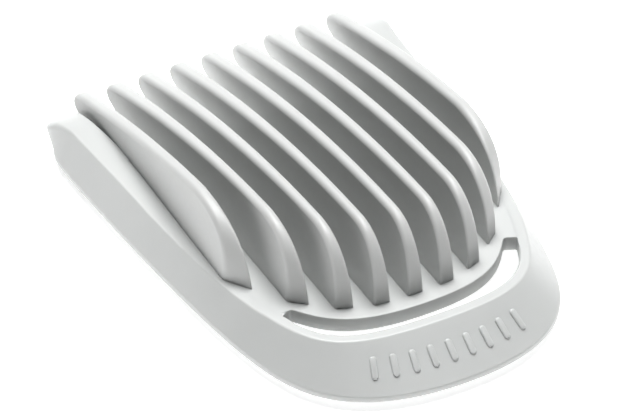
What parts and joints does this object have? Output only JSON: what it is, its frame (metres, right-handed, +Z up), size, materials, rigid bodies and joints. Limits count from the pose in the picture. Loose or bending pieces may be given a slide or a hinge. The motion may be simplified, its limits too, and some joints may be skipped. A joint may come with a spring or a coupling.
{
  "type": "clip-on comb attachment",
  "caption": "Clip-on comb guard for a body groomer: upright fins with free tines on a plate between side rails, with a flared rear lip.",
  "frame": {"origin": "middle of the part's box in X and Y, at its lowest point, the feet of the two snap lugs", "axes": "+Z up, from the groomer's side to the skin side; +Y towards the tips of the fins; +X to the right seen from the rear lip"},
  "size_m": [0.0434, 0.0597, 0.014],
  "materials": {
    "shell_plastic": "fine satin moulded surface, light cool grey",
    "fin_plastic": "fine satin moulded surface, light cool grey, slightly smoother on the crests"
  },
  "bodies": {
    "root": {"floor_plate": "shell_plastic", "rear_lip": "shell_plastic", "fin_1": "fin_plastic", "fin_2": "fin_plastic", "fin_3": "fin_plastic", "fin_4": "fin_plastic", "fin_5": "fin_plastic", "fin_6": "fin_plastic", "fin_7": "fin_plastic", "fin_8": "fin_plastic", "fin_9": "fin_plastic", "right_side_wall": "shell_plastic", "left_side_wall": "shell_plastic", "right_rail_shelf": "shell_plastic", "left_rail_shelf": "shell_plastic", "right_rail_nose": "shell_plastic", "left_rail_nose": "shell_plastic", "right_guide_rib": "shell_plastic", "left_guide_rib": "shell_plastic", "right_snap_lug": "shell_plastic", "left_snap_lug": "shell_plastic", "right_latch_gusset": "shell_plastic", "left_latch_gusset": "shell_plastic", "rear_latch": "shell_plastic"}
  },
  "joints": []
}
